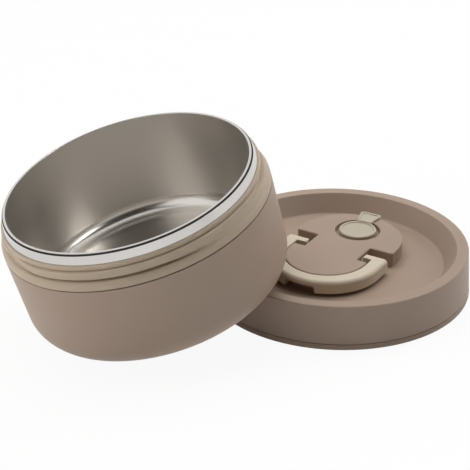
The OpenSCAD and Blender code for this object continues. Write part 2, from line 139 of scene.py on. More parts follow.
def offsetLoop(loop, amount):
    # Moves a closed outline outwards by amount, inwards where it is negative; the outline runs anticlockwise
    moved = []
    for i, p in enumerate(loop):
        a = (p - loop[i - 1]).normalized()
        b = (loop[(i + 1) % len(loop)] - p).normalized()
        na, nb = Vector((a.y, -a.x)), Vector((b.y, -b.x))
        moved.append(p + (na + nb) * (amount / (1 + na.dot(nb))))
    return moved


def ringOf(mesh, points, height):
    return [mesh.verts.new((p[0] * mm, p[1] * mm, height * mm)) for p in points]


def bridge(mesh, ringA, ringB, slotIndex=0):
    count = max(len(ringA), len(ringB))
    for i in range(count):
        corners = [ringA[i % len(ringA)], ringA[(i + 1) % len(ringA)],
                   ringB[(i + 1) % len(ringB)], ringB[i % len(ringB)]]
        corners = [c for k, c in enumerate(corners) if c not in corners[:k]]
        mesh.faces.new(corners).material_index = slotIndex


def bridgeAll(mesh, rings):
    for ringA, ringB in zip(rings, rings[1:]):
        bridge(mesh, ringA, ringB)


def spin(mesh, path, segments, closed=False, centre=(0, 0), shape=None, slotOf=None):
    rings = []
    for p in path:
        if p[0] < near["axis"]:
            rings.append([mesh.verts.new((centre[0] * mm, centre[1] * mm, p[1] * mm))])
            continue
        ring = []
        for i in range(segments):
            t = 2 * math.pi * i / segments
            r = shape(t, p[0], p[1]) if shape else p[0]
            x, y = centre[0] + r * math.cos(t), centre[1] + r * math.sin(t)
            ring.append(mesh.verts.new((x * mm, y * mm, p[1] * mm)))
        rings.append(ring)
    for k in range(len(rings) - (0 if closed else 1)):
        following = rings[(k + 1) % len(rings)]
        if len(rings[k]) > 1 or len(following) > 1:
            bridge(mesh, rings[k], following, slotOf(path[k], path[(k + 1) % len(path)]) if slotOf else 0)
    return rings


def fillPlate(mesh, rim, holes=()):
    loops = [rim] + list(holes)
    corners = [v for loop in loops for v in loop]
    for face in tessellate_polygon([[v.co for v in loop] for loop in loops]):
        mesh.faces.new([corners[i] for i in face])


def joinPoints(mesh):
    # Points that fall together become one, so no face is left without area
    bmesh.ops.remove_doubles(mesh, verts=mesh.verts[:], dist=near["mesh"] * mm)
    bmesh.ops.dissolve_degenerate(mesh, edges=mesh.edges[:], dist=near["mesh"] * mm)


def makePiece(name, mesh, place, materials, keepsAxis=False):
    # A piece's place goes into its mesh; only turned steel keeps its own axis, which its lines follow
    joinPoints(mesh)
    bmesh.ops.recalc_face_normals(mesh, faces=mesh.faces[:])
    if not keepsAxis:
        mesh.transform(place)
    data = bpy.data.meshes.new(name)
    mesh.to_mesh(data)
    mesh.free()
    data.polygons.foreach_set("use_smooth", [True] * len(data.polygons))
    for material in materials:
        data.materials.append(material)
    piece = bpy.data.objects.new(name, data)
    bpy.context.scene.collection.objects.link(piece)
    if keepsAxis:
        piece.matrix_world = place
    return piece


def settle(piece, body, node):
    piece.modifiers.new("evenShading", "WEIGHTED_NORMAL").weight = flatWeight
    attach(piece, body)
    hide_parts(node)
    print("made", piece.name, len(piece.data.polygons), "faces")


def combine(piece, extra, operation):
    # Joins the extra mesh to the piece or cuts it out, and leaves clean faces of three or four corners
    joint = piece.modifiers.new("combine", "BOOLEAN")
    joint.operation = operation
    joint.solver = "EXACT"
    joint.object = extra
    bpy.context.view_layer.update()
    whole = bpy.data.meshes.new_from_object(piece.evaluated_get(bpy.context.evaluated_depsgraph_get()))
    piece.modifiers.remove(joint)
    mesh = bmesh.new()
    mesh.from_mesh(whole)
    joinPoints(mesh)
    bmesh.ops.triangulate(mesh, faces=[f for f in mesh.faces if len(f.verts) > 4])
    mesh.to_mesh(whole)
    mesh.free()
    piece.data = whole
    bpy.data.objects.remove(extra)
    whole.polygons.foreach_set("use_smooth", [True] * len(whole.polygons))


# Rods on the handle's axis, for its pins and for the holes they turn in
pivotRods = {"endRound": 0.3, "rootRound": 0.1, "segments": 48}


def pivotRod(name, radius, start, length, side):
    # Points outwards from inside the boss
    outline = roundCorners([
        (0, 0, 0), (radius, 0, pivotRods["endRound"]), (radius, length, pivotRods["rootRound"]),
        (0, length, 0)], closed=False)
    mesh = bmesh.new()
    spin(mesh, outline, pivotRods["segments"])
    lay = Matrix.Rotation(math.radians(-90 * side), 4, "X")
    put = Matrix.Translation((lidPlace["pivotAt"] * mm, side * start * mm, lidPlace["pivotUp"] * mm))
    return makePiece(name, mesh, onBoss @ put @ lay, [])


# Where Blender's Mix node keeps its two colours and gives their blend
mixSockets = {"low": 6, "high": 7, "result": 2}

# Moulded polypropylene: a dry, fine-grained skin with soft broad highlights, even in colour but not dead
plasticSkin = {"ior": 1.49, "roughSpread": 0.06, "grainDepth": 0.05, "grainDetail": 2.0, "cloudDetail": 3.0}


def mouldedPlastic(name, look):
    material, tree = newMaterial(name)
    place = addNode(tree, "ShaderNodeTexCoord").outputs["Object"]
    grain = addNode(tree, "ShaderNodeTexNoise",
                    {"Scale": perMetre / look["grain"], "Detail": plasticSkin["grainDetail"]},
                    {"Vector": place})
    cloud = addNode(tree, "ShaderNodeTexNoise",
                    {"Scale": perMetre / look["cloud"], "Detail": plasticSkin["cloudDetail"]},
                    {"Vector": place})
    colour = addNode(tree, "ShaderNodeMix", {"data_type": "RGBA"}, {"Factor": cloud.outputs["Fac"]})
    for shade in ("low", "high"):
        colour.inputs[mixSockets[shade]].default_value = toLinear(look[shade])
    spread = plasticSkin["roughSpread"]
    rough = addNode(tree, "ShaderNodeMapRange",
                    {"To Min": look["rough"] - spread, "To Max": look["rough"] + spread},
                    {"Value": grain.outputs["Fac"]})
    bump = addNode(tree, "ShaderNodeBump",
                   {"Strength": look["bump"], "Distance": plasticSkin["grainDepth"] * mm},
                   {"Height": grain.outputs["Fac"]})
    skin = addNode(tree, "ShaderNodeBsdfPrincipled",
                   {"IOR": plasticSkin["ior"], "Sheen Weight": look.get("sheen", 0.0)},
                   {"Base Color": colour.outputs[mixSockets["result"]], "Roughness": rough.outputs["Result"],
                    "Normal": bump.outputs["Normal"]})
    addNode(tree, "ShaderNodeOutputMaterial", None, {"Surface": skin.outputs["BSDF"]})
    return material


# The real grain is about 0.15 mm; it is drawn at 0.9 mm so that it still shows at the picture's size
taupePolypropylene = mouldedPlastic("mouldedPolypropyleneTaupe", {
    "low": "#a08b7b", "high": "#a69282", "rough": 0.5, "bump": 0.25, "grain": 0.9, "cloud": 35})
beigePolypropylene = mouldedPlastic("mouldedPolypropyleneBeige", {
    "low": "#d0c3ae", "high": "#d7cbb7", "rough": 0.46, "bump": 0.2, "grain": 0.9, "cloud": 30})
# The collar is the same beige polypropylene as the handle; this darker, warmer copy is painted shade and
# painted warm light thrown up from the steel
collarPaintedShadePolypropylene = mouldedPlastic("mouldedPolypropyleneBeigePaintedShade", {
    "low": "#b2a08b", "high": "#b9a894", "rough": 0.44, "bump": 0.2, "grain": 0.9, "cloud": 30})
whitePolypropylene = mouldedPlastic("mouldedPolypropyleneWhite", {
    "low": "#e3e1db", "high": "#e9e7e2", "rough": 0.4, "bump": 0.1, "grain": 0.9, "cloud": 40})
# Pressed silicone rubber: soft, dusty and without shine
pressedSilicone = mouldedPlastic("pressedSiliconeIvory", {
    "low": "#b9af9c", "high": "#c0b7a5", "rough": 0.6, "bump": 0.12, "grain": 0.7, "cloud": 18,
    "sheen": 0.1})
# Inside the walls: pressed rubber with a coarse dull skin, foam with open beads, and a sintered metal pill
cushionRubber = mouldedPlastic("pressedRubberBlack", {
    "low": "#3a3a39", "high": "#434342", "rough": 0.75, "bump": 0.4, "grain": 1.2, "cloud": 20})
expandedFoam = mouldedPlastic("expandedFoamWhite", {
    "low": "#e9e7df", "high": "#f1f0ea", "rough": 0.9, "bump": 0.9, "grain": 2.5, "cloud": 6})
sinteredGetter = mouldedPlastic("sinteredGetterGrey", {
    "low": "#4a4a4a", "high": "#5a5a58", "rough": 0.8, "bump": 0.7, "grain": 0.6, "cloud": 3})

# Drawn stainless steel, finished on a lathe: fine lines run round the axis, on wall and floor alike
steelSkin = {"roughSpread": 0.03, "lineDepth": 0.02, "lineDetail": 4.0, "lineRough": 0.65,
             "quarterTurn": 0.25}


def turnedSteel(name, look):
    material, tree = newMaterial(name)
    place = addNode(tree, "ShaderNodeTexCoord").outputs["Object"]
    split = addNode(tree, "ShaderNodeSeparateXYZ", None, {"Vector": place})
    flat = addNode(tree, "ShaderNodeCombineXYZ", None, {"X": split.outputs["X"], "Y": split.outputs["Y"]})
    radius = addNode(tree, "ShaderNodeVectorMath", {"operation": "LENGTH"},
                     {"Vector": flat.outputs["Vector"]})
    # Height less radius runs on from the floor to the wall
    along = addNode(tree, "ShaderNodeMath", {"operation": "SUBTRACT"})
    tree.links.new(split.outputs["Z"], along.inputs[0])
    tree.links.new(radius.outputs["Value"], along.inputs[1])
    lineSpace = addNode(tree, "ShaderNodeCombineXYZ", None,
                        {"X": split.outputs["X"], "Y": split.outputs["Y"], "Z": along.outputs["Value"]})
    stretched = addNode(tree, "ShaderNodeVectorMath", {"operation": "MULTIPLY"},
                        {"Vector": lineSpace.outputs["Vector"]})
    stretch = [perMetre / look[size] for size in ("lineLength", "lineLength", "line")]
    stretched.inputs[1].default_value = stretch
    lines = addNode(tree, "ShaderNodeTexNoise",
                    {"Scale": 1.0, "Detail": steelSkin["lineDetail"], "Roughness": steelSkin["lineRough"]},
                    {"Vector": stretched.outputs["Vector"]})
    colour = addNode(tree, "ShaderNodeMix", {"data_type": "RGBA"}, {"Factor": lines.outputs["Fac"]})
    for shade in ("low", "high"):
        colour.inputs[mixSockets[shade]].default_value = toLinear(look[shade])
    spread = steelSkin["roughSpread"]
    rough = addNode(tree, "ShaderNodeMapRange",
                    {"To Min": look["rough"] - spread, "To Max": look["rough"] + spread},
                    {"Value": lines.outputs["Fac"]})
    bump = addNode(tree, "ShaderNodeBump",
                   {"Strength": look["bump"], "Distance": steelSkin["lineDepth"] * mm},
                   {"Height": lines.outputs["Fac"]})
    around = addNode(tree, "ShaderNodeTangent", {"direction_type": "RADIAL", "axis": "Z"})
    # A quarter turn, because light spreads across the lines and not along them
    steel = addNode(tree, "ShaderNodeBsdfPrincipled",
                    {"Metallic": 1.0, "Anisotropic": look["anisotropic"],
                     "Anisotropic Rotation": steelSkin["quarterTurn"]},
                    {"Base Color": colour.outputs[mixSockets["result"]], "Roughness": rough.outputs["Result"],
                     "Normal": bump.outputs["Normal"], "Tangent": around.outputs["Tangent"]})
    addNode(tree, "ShaderNodeOutputMaterial", None, {"Surface": steel.outputs["BSDF"]})
    return material


# Real lines are about 0.1 mm apart; they are drawn at 0.7 mm so that they still show
satinLook = {"low": "#d9d4ce", "high": "#dfdbd5", "rough": 0.36, "bump": 0.015, "anisotropic": 0.1,
             "line": 0.7, "lineLength": 60}
satinSteel = turnedSteel("turnedStainlessSatin", satinLook)
# The drawing tool rubs the floor and its corner smoother than the wall, so their streaks of light are crisper
burnishedSteel = turnedSteel("burnishedStainless", {**satinLook, "rough": 0.25})
# Lip and neck are polished, so they show a bright band with narrow highlights
polishedSteel = turnedSteel("polishedStainless", {
    "low": "#cac7c3", "high": "#d2cfcc", "rough": 0.2, "bump": 0.02, "anisotropic": 0.2, "line": 0.9,
    "lineLength": 60})
# They are welded together; the seam groove and the lip's underside get a dark, dull steel that is painted
# shade, for the shadow in the gap under the lip
paintedShadeSeam = turnedSteel("paintedShadeSeamStainless", {
    "low": "#4a4643", "high": "#5c5753", "rough": 0.5, "bump": 0.1, "anisotropic": 0.0, "line": 0.9,
    "lineLength": 12})
print("materials ready")


def ease(t):
    # Runs from nothing to one with a soft start and end
    t = min(max(t, 0), 1)
    return t * t * (3 - 2 * t)


# Threads: two ridges that climb round the wall, rise to the right and sink into the wall at their ends
threadStarts = (0, 180)


def degreesAway(angle, thread, start):
    # From the middle of one ridge, less than half a turn either way
    return (math.degrees(angle) - thread["middle"] - start + 180) % 360 - 180


def threadRidge(angle, height, thread):
    best = 0.0
    for start in threadStarts:
        away = degreesAway(angle, thread, start)
        if abs(away) > thread["span"] / 2:
            continue
        centre = thread["height"] + thread["lead"] * away / 360
        flank = (thread["width"] - thread["crest"]) / 2
        side = (thread["width"] / 2 - abs(height - centre)) / flank
        end = (thread["span"] / 2 - abs(away)) / thread["runOut"]
        best = max(best, ease(side) * ease(end))
    return best * thread["depth"]


# Inner bowl of steel sheet with its rolled lip
innerBowl = {"floor": 12.6, "sheet": 0.6, "mouth": 66.699, "top": 71.8, "corner": 7.5, "lipReach": 68.2,
             "lipUnder": 69.7, "underRound": 0.1, "lipEdge": 0.35, "crown": 67.5, "crownRound": 0.8,
             "edgeUp": 71.5, "edgeRound": 0.25, "polishFrom": 70.6, "paintedShadeFrom": 67.9, "degrees": 6,
             "segments": 288}


def makeInnerBowl(s):
    def wall(z):
        return s["mouth"] - (s["top"] - z) * wallSlope
    under = s["floor"] - s["sheet"]
    path = roundCorners([
        (0, s["floor"], 0), (wall(s["floor"]), s["floor"], s["corner"]),
        (s["mouth"], s["top"], s["lipEdge"]), (s["crown"], s["top"], s["crownRound"]),
        (s["lipReach"], s["edgeUp"], s["edgeRound"]), (s["lipReach"], s["lipUnder"], s["underRound"]),
        (wall(s["lipUnder"]) + s["sheet"], s["lipUnder"], s["underRound"]),
        (wall(under) + s["sheet"], under, s["corner"] + s["sheet"]),
        (0, under, 0)], closed=False, degreesPerStep=s["degrees"])
    finishes = [satinSteel, polishedSteel, paintedShadeSeam, burnishedSteel]

    def finishOf(a, b):
        # The lip's outer edge and underside, past this radius, take the dark seam steel as painted shade
        if min(a.x, b.x) > s["paintedShadeFrom"]:
            return finishes.index(paintedShadeSeam)
        if max(a.y, b.y) < s["floor"] + s["corner"]:
            return finishes.index(burnishedSteel)
        return finishes.index(polishedSteel if min(a.y, b.y) > s["polishFrom"] else satinSteel)
    mesh = bmesh.new()
    spin(mesh, path, s["segments"], slotOf=finishOf)
    bowl = makePiece("innerBowl", mesh, onBowl, finishes, keepsAxis=True)
    settle(bowl, "bowl", "inner_liner")


makeInnerBowl(innerBowl)

# Outer steel jacket; only its polished neck shows, which flares from under the lip to the collar's top
jacket = {"neck": 67.999, "neckTop": 70.7, "neckOut": 68.85, "neckEdge": 0.1, "seamWidth": 0.2,
          "seamFloor": 69.6, "seamEdge": 0.05, "flare": 69.9, "flareFoot": 66.0, "flareEdge": 0.1,
          "flareIn": 0.1, "flareUp": 0.5, "flareRound": 0.3, "coneTop": 59.9, "coneLow": 55.0,
          "wallAtSeam": 70.299, "foot": 23.8, "sheet": 0.6, "bend": 1.0, "segments": 288}


def makeJacket(s):
    def wall(z):
        return s["wallAtSeam"] - (bowlPlace["seamHeight"] - z) * wallSlope
    t = s["sheet"]
    seamOut = s["neckOut"] - s["seamWidth"]
    path = roundCorners([
        (wall(s["foot"]), s["foot"], 0), (wall(s["coneLow"]), s["coneLow"], s["bend"]),
        (s["neck"], s["coneTop"], s["bend"]), (s["neck"], s["flareFoot"], 0),
        (s["flare"], s["flareFoot"], s["flareEdge"]),
        (s["flare"] - s["flareIn"], s["flareFoot"] + s["flareUp"], s["flareRound"]),
        (s["neckOut"], s["neckTop"], s["neckEdge"]), (seamOut, s["neckTop"], s["seamEdge"]),
        (seamOut, s["seamFloor"], 0), (s["neck"] - t, s["seamFloor"], 0),
        (s["neck"] - t, s["coneTop"], s["bend"]), (wall(s["coneLow"]) - t, s["coneLow"], s["bend"]),
        (wall(s["foot"]) - t, s["foot"], 0)])
    finishes = [polishedSteel, paintedShadeSeam]

    def finishOf(a, b):
        # The groove at the neck's top takes the dark seam steel as painted shade
        inPaintedShade = max(a.x, b.x) < seamOut + near["row"] and max(a.y, b.y) > s["seamFloor"] - near["row"]
        return finishes.index(paintedShadeSeam if inPaintedShade else polishedSteel)
    mesh = bmesh.new()
    spin(mesh, path, s["segments"], closed=True, slotOf=finishOf)
    neck = makePiece("steelJacket", mesh, onBowl, finishes, keepsAxis=True)
    settle(neck, "bowl", "steel_jacket")


makeJacket(jacket)

# Threaded collar: thin wall with the thread, a cove, a rounded shoulder and a tongue that enters the casing
collar = {"bore": 68.299, "mouth": 68.05, "mouthEdge": 0.15, "root": 70.399, "top": 65.9, "topEdge": 0.6,
          "bandOut": 0.6, "bandLow": 63.5, "bandEdge": 0.25, "bandFall": 0.2, "bandCove": 0.1,
          "shoulderTop": 57.4, "cove": 1.05, "shoulder": 73.9, "shoulderRound": 2.4, "seamEdge": 0.25,
          "seamGap": 0.3, "tongue": 71.95, "tongueIn": 70.75, "tongueFoot": 46.6, "tongueDraft": 0.178,
          "tongueRoot": 0.1, "tongueEdge": 0.2, "coneTop": 59.9, "coneLow": 55.0, "sealLow": 61.5,
          "sealTop": 63.5, "groove": 68.899, "threadRow": 0.16, "threadClear": 0.1, "segments": 360}
collarThread = {"middle": -100, "span": 150, "height": 60.8, "lead": 1.5, "width": 4.8, "crest": 3.9,
                "depth": 1.9, "runOut": 26}
# Where the ridge widens downwards, in degrees from its middle, and the foot that it reaches
threadFoot = {"from": 0, "full": 36, "until": 80, "end": 115, "radius": 73.35, "height": 56.3}


def makeCollar(s):
    seam = bowlPlace["seamHeight"] + s["seamGap"]  # the seam shows as a fine dark line
    band = s["root"] + s["bandOut"]
    path = roundCorners([
        (s["mouth"], s["top"], s["mouthEdge"]), (band, s["top"], s["topEdge"]),
        (band, s["bandLow"], s["bandEdge"]), (s["root"], s["bandLow"] - s["bandFall"], s["bandCove"]),
        (s["root"], s["shoulderTop"], s["cove"]), (s["shoulder"], s["shoulderTop"], s["shoulderRound"]),
        (bowlPlace["seamRadius"], seam, s["seamEdge"]), (s["tongue"], seam, s["tongueRoot"]),
        (s["tongue"] - s["tongueDraft"], s["tongueFoot"], s["tongueEdge"]),
        (s["tongueIn"] - s["tongueDraft"], s["tongueFoot"], s["tongueEdge"]), (s["tongueIn"], seam, 0),
        (s["tongueIn"], s["coneLow"], 0), (s["bore"], s["coneTop"], 0), (s["bore"], s["sealLow"], 0),
        (s["groove"], s["sealLow"], 0), (s["groove"], s["sealTop"], 0), (s["bore"], s["sealTop"], 0)])
    path = finerBetween(path, s["root"], s["threadRow"])

    def ridge(angle, r, z):
        carriesRidge = threadFoot["height"] < z < s["bandLow"] - s["threadClear"]
        if r < s["root"] - near["wall"] or not carriesRidge:
            return r
        best = r
        if r < s["root"] + near["wall"]:
            best = r + threadRidge(angle, z, collarThread)
        # Towards its upper end the ridge loses the cove under it and runs straight down to the shoulder
        for start in threadStarts:
            away = degreesAway(angle, collarThread, start)
            rise = (away - threadFoot["from"]) / (threadFoot["full"] - threadFoot["from"])
            fall = (threadFoot["end"] - away) / (threadFoot["end"] - threadFoot["until"])
            share = min(rise, fall)
            crest = collarThread["height"] + collarThread["lead"] * away / 360
            if share > 0 and z < crest:
                up = (z - threadFoot["height"]) / (crest - threadFoot["height"])
                reach = s["root"] + collarThread["depth"]
                flank = threadFoot["radius"] + (reach - threadFoot["radius"]) * up
                best = max(best, s["root"] + (flank - s["root"]) * ease(share))
        return best
    mesh = bmesh.new()
    spin(mesh, path, s["segments"], closed=True, shape=ridge)
    ring = makePiece("threadCollar", mesh, onBowl, [collarPaintedShadePolypropylene])
    settle(ring, "bowl", "thread_collar")


makeCollar(collar)

# Outer casing: drafted wall, well rounded bottom edge, foot ring with a shallow hollow
casing = {"wall": 2.2, "bottomRound": 14.8, "footIn": 52.97, "footEdge": 0.4, "hollow": 1.1,
          "hollowRound": 0.5, "floorTop": 3.3, "floorRound": 0.3, "seamEdge": 0.25, "seamInEdge": 0.2,
          "seamGap": 0.2, "degrees": 5, "segments": 288}


def makeCasing(s):
    seam, outer = bowlPlace["seamHeight"] - s["seamGap"], bowlPlace["seamRadius"]
    inner = outer - s["wall"] / math.cos(math.radians(bowlPlace["draft"]))
    footOut = s["footIn"] + s["wall"]
    path = roundCorners([
        (0, s["hollow"], 0), (s["footIn"], s["hollow"], s["hollowRound"]), (s["footIn"], 0, s["footEdge"]),
        (outer - seam * wallSlope, 0, s["bottomRound"]), (outer, seam, s["seamEdge"]),
        (inner, seam, s["seamInEdge"]),
        (inner - (seam - s["wall"]) * wallSlope, s["wall"], s["bottomRound"] - s["wall"]),
        (footOut, s["wall"], s["floorRound"]), (footOut, s["floorTop"], s["floorRound"]),
        (0, s["floorTop"], 0)], closed=False, degreesPerStep=s["degrees"])
    mesh = bmesh.new()
    spin(mesh, path, s["segments"])
    shell = makePiece("outerCasing", mesh, onBowl, [taupePolypropylene])
    settle(shell, "bowl", "outer_casing")


makeCasing(casing)

# Lid: drafted skirt with a groove line, flat rim and sloping recess, with the thread inside the skirt
lidShell = {"foot": 75.0, "draft": 3.4, "height": 25.4, "rimEdge": 0.9, "rimIn": 66.89, "rimInEdge": 0.8,
            "recess": 59.69, "recessFloor": 14.6, "recessRound": 2.4, "underFloor": 12.8, "underShift": 1.06,
            "underRound": 0.8, "skirtIn": 72.649, "skirtTop": 7.5, "upperIn": 71.9, "rimUnder": 23.6,
            "rimUnderRound": 1.0, "grooveAt": 3.1, "groove": 0.6, "grooveDeep": 0.8, "grooveTaper": 0.1,
            "grooveEdge": 0.08, "grooveLip": 0.12, "footFall": 0.3, "footUp": 0.9, "footRound": 0.4,
            "footEdge": 0.3, "plate": 57.5, "threadRow": 0.25, "threadFrom": 0.4, "threadClear": 0.1,
            "segments": 288}
lidThread = {"middle": -138.3, "span": 150, "height": 3.75, "lead": 9, "width": 2.5, "crest": 1.5,
             "depth": 1.9, "runOut": 14}
# Oval boss with a slot on either side for the handle and a round pocket for the plug
boss = {"round": 30.6, "shift": 13.1, "frontRound": 23.2, "slotBack": 7.5, "slotFront": -8.6, "slotIn": 16.7,
        "top": 23.75, "footRound": 0.6, "footSteps": 4, "topRound": 0.8, "topSteps": 6, "backCorner": 1.4,
        "slotCorner": 0.9, "leastCorner": 0.3, "degrees": 4, "pocket": 12.9, "pocketFloor": 20.75,
        "pocketEdge": 0.45, "edgeShare": 0.99, "pocketRound": 0.6, "pocketSegments": 128, "vent": 4.5,
        "ventEdge": 0.3, "hollowWall": 1.8, "hollowEdge": 0.3, "pinHole": 1.65, "pinHoleOver": 0.4}


def bossOutline(b, inset=0):
    # The inset outline is that of the space inside the boss, whose wall is as thick as the inset
    wide, narrow, slotIn = b["round"] - inset, b["frontRound"] - inset, b["slotIn"] - inset
    slotBack, slotFront = b["slotBack"] + inset, b["slotFront"] - inset
    half = [(b["shift"] + wide, wide, wide),
            (slotBack, wide, max(b["backCorner"] - inset, b["leastCorner"])),
            (slotBack, slotIn, b["slotCorner"] + inset), (slotFront, slotIn, b["slotCorner"] + inset),
            (slotFront, narrow, max(b["slotCorner"] - inset, b["leastCorner"])),
            (-b["shift"] - narrow, narrow, narrow)]
    return roundCorners(half + [(x, -y, r) for x, y, r in reversed(half)], degreesPerStep=b["degrees"])


def makeLidShell(s, b):
    slope = math.tan(math.radians(s["draft"]))

    def wall(z):
        return s["foot"] - z * slope
    low, high = s["grooveAt"] - s["groove"] / 2, s["grooveAt"] + s["groove"] / 2
    mesh = bmesh.new()
    outside = roundCorners([
        (s["plate"], s["recessFloor"], 0), (s["recess"], s["recessFloor"], s["recessRound"]),
        (s["rimIn"], s["height"], s["rimInEdge"]), (wall(s["height"]), s["height"], s["rimEdge"]),
        (wall(high), high, s["grooveEdge"]), (wall(high) - s["grooveDeep"], high - s["grooveTaper"], 0),
        (wall(low) - s["grooveDeep"], low + s["grooveTaper"], 0),
        (wall(low) - s["footFall"], low, s["grooveLip"]), (s["foot"], s["footUp"], s["footRound"]),
        (s["foot"], 0, s["footEdge"]), (s["skirtIn"], 0, s["footEdge"]), (s["skirtIn"], s["skirtTop"], 0),
        (s["upperIn"], s["rimUnder"], s["rimUnderRound"]),
        (s["rimIn"] + s["underShift"], s["rimUnder"], s["rimUnderRound"]),
        (s["recess"] + s["underShift"], s["underFloor"], s["underRound"]),
        (s["plate"], s["underFloor"], 0)], closed=False)
    outside = finerBetween(outside, s["skirtIn"], s["threadRow"])

    def ridge(angle, r, z):
        onSkirt = abs(r - s["skirtIn"]) < near["wall"]
        onThread = onSkirt and s["threadFrom"] < z < s["skirtTop"] - s["threadClear"]
        return r - threadRidge(angle, z, lidThread) if onThread else r
    rings = spin(mesh, outside, s["segments"], shape=ridge)
    # The boss rises from the recess floor with a small fillet and ends in a softly rounded edge
    rows = []
    for k in range(b["footSteps"] + 1):
        angle = math.radians(90 * k / b["footSteps"])
        up = b["footRound"] * (1 - math.cos(angle))
        rows.append((b["footRound"] * (1 - math.sin(angle)), s["recessFloor"] + up))
    for k in range(b["topSteps"] + 1):
        angle = math.radians(90 * k / b["topSteps"])
        down = b["topRound"] * (1 - math.sin(angle))
        rows.append((-b["topRound"] * (1 - math.cos(angle)), b["top"] - down))
    outline = bossOutline(b)
    levels = [ringOf(mesh, offsetLoop(outline, out), z) for out, z in rows]
    bridgeAll(mesh, levels)
    fillPlate(mesh, rings[0], [levels[0]])
    # Round pocket for the plug, with the vent bore in its floor; from below the boss is hollow round both
    thick, ceiling = b["hollowWall"], b["top"] - b["hollowWall"]
    pocketUnder = b["pocketFloor"] - thick
    pocket = roundCorners([
        (b["pocket"] + b["pocketEdge"], b["top"], 0),
        (b["pocket"], b["top"], b["pocketEdge"] * b["edgeShare"]),  # the arc starts past the first point
        (b["pocket"], b["pocketFloor"], b["pocketRound"]), (b["vent"], b["pocketFloor"], b["ventEdge"]),
        (b["vent"], s["underFloor"], 0), (b["vent"] + thick, s["underFloor"], 0),
        (b["vent"] + thick, pocketUnder, b["hollowEdge"]),
        (b["pocket"] + thick, pocketUnder, b["hollowEdge"]), (b["pocket"] + thick, ceiling, 0)], closed=False)
    sunk = spin(mesh, pocket, b["pocketSegments"], centre=(lidPlace["plugAt"], 0))
    hollow = [ringOf(mesh, bossOutline(b, thick), z) for z in (s["underFloor"], ceiling)]
    bridgeAll(mesh, hollow)
    fillPlate(mesh, levels[-1], [sunk[0]])
    fillPlate(mesh, hollow[1], [sunk[-1]])
    fillPlate(mesh, rings[-1], [hollow[0]])
    shell = makePiece("lidShell", mesh, onBoss, [taupePolypropylene])
    over = b["pinHoleOver"]
    for side in (-1, 1):
        hole = pivotRod("pinHole", b["pinHole"], b["slotIn"] - thick - over, thick + 2 * over, side)
        combine(shell, hole, "DIFFERENCE")
    settle(shell, "lid", "lid_shell")


makeLidShell(lidShell, boss)

# White inner cover under the lid, a shallow cup with the vent tube through it
lidCover = {"under": 5.0, "wall": 1.4, "radius": 64.8, "corner": 2.0, "topOut": 18.95, "topIn": 16.85,
            "topEdge": 0.1, "cornerIn": 0.8, "plate": 60.0, "tube": 6.3, "tubeTop": 12.8, "tubeEdge": 0.1,
            "tubeFoot": 0.5, "tubeMargin": 0.8, "vent": 4.5, "ventMargin": 0.4, "ventEdge": 0.39,
            "tubeSegments": 96, "segments": 240}


def makeLidCover(s):
    mesh = bmesh.new()
    floor, inside = s["under"] + s["wall"], s["radius"] - s["wall"]
    path = roundCorners([
        (s["plate"], s["under"], 0), (s["radius"], s["under"], s["corner"]),
        (s["radius"], s["topOut"], s["topEdge"]), (inside, s["topIn"], s["topEdge"]),
        (inside, floor, s["cornerIn"]), (s["plate"], floor, 0)], closed=False)
    rings = spin(mesh, path, s["segments"])
    tube = roundCorners([
        (s["vent"] + s["ventMargin"], s["under"], 0), (s["vent"], s["under"], s["ventEdge"]),
        (s["vent"], s["tubeTop"], s["tubeEdge"]), (s["tube"], s["tubeTop"], s["tubeEdge"]),
        (s["tube"], floor, s["tubeFoot"]), (s["tube"] + s["tubeMargin"], floor, 0)], closed=False)
    bored = spin(mesh, tube, s["tubeSegments"], centre=(lidPlace["plugAt"], 0))
    fillPlate(mesh, rings[0], [bored[0]])
    fillPlate(mesh, rings[-1], [bored[-1]])
    settle(makePiece("lidCover", mesh, onBoss, [whitePolypropylene]), "lid", "lid_liner")


makeLidCover(lidCover)

# Soft ring that the steel lip presses against
gasketRing = {"inner": 64.85, "outer": 70.3, "low": 13.6, "high": 16.6, "edge": 0.7, "segments": 240}


def makeGasket(s):
    corners = [(s["inner"], s["low"], s["edge"]), (s["outer"], s["low"], s["edge"]),
               (s["outer"], s["high"], s["edge"]), (s["inner"], s["high"], s["edge"])]
    mesh = bmesh.new()
    spin(mesh, roundCorners(corners), s["segments"], closed=True)
    settle(makePiece("lidGasket", mesh, onBoss, [pressedSilicone]), "lid", "lid_gasket")


makeGasket(gasketRing)

# Folding handle: a half ring with two arms, pegs turned inwards at their ends, and a finger notch below
carryHandle = {"shift": 13.1, "inner": 23.7, "outer": 31.8, "low": 16.25, "top": 23.75, "outerRound": 2.4,
               "innerRound": 0.7, "lowRound": 0.5, "leastRound": 0.05, "cornerSteps": 6, "armEnd": 0.0,
               "pegFront": -4.6, "pegIn": 18.2, "endRound": 0.7, "pegCove": 0.9, "endSteps": 5,
               "armRows": (-7.0, -8.5, -10.0, -11.5), "bowDegrees": range(90, 150, 3),
               "bowRows": (13.0, 11.5, 10.2), "notchRows": (6.0, 4.0, 2.0), "notchHalf": 9.1,
               "notchTop": 20.25, "notchRound": 1.6, "notchEdge": 0.5, "squareFrom": 13.0, "squareOver": 8.0,
               "pin": 1.55, "pinEnd": 15.1, "pinBite": 0.5}


def handleSection(s, inner, low, inset):
    left, right, under, over = inner + inset, s["outer"] - inset, low + inset, s["top"] - inset
    boxCorners = [(left, under, s["lowRound"], 180), (right, under, s["lowRound"], 270),
                  (right, over, s["outerRound"], 0), (left, over, s["innerRound"], 90)]
    section = []
    for x, z, radius, fromAngle in boxCorners:
        radius = max(radius - inset, s["leastRound"])
        centre = Vector((x + (radius if fromAngle in (90, 180) else -radius),
                         z + (radius if fromAngle in (180, 270) else -radius)))
        for k in range(s["cornerSteps"] + 1):
            angle = math.radians(fromAngle + 90 * k / s["cornerSteps"])
            section.append(centre + radius * Vector((math.cos(angle), math.sin(angle))))
    return section


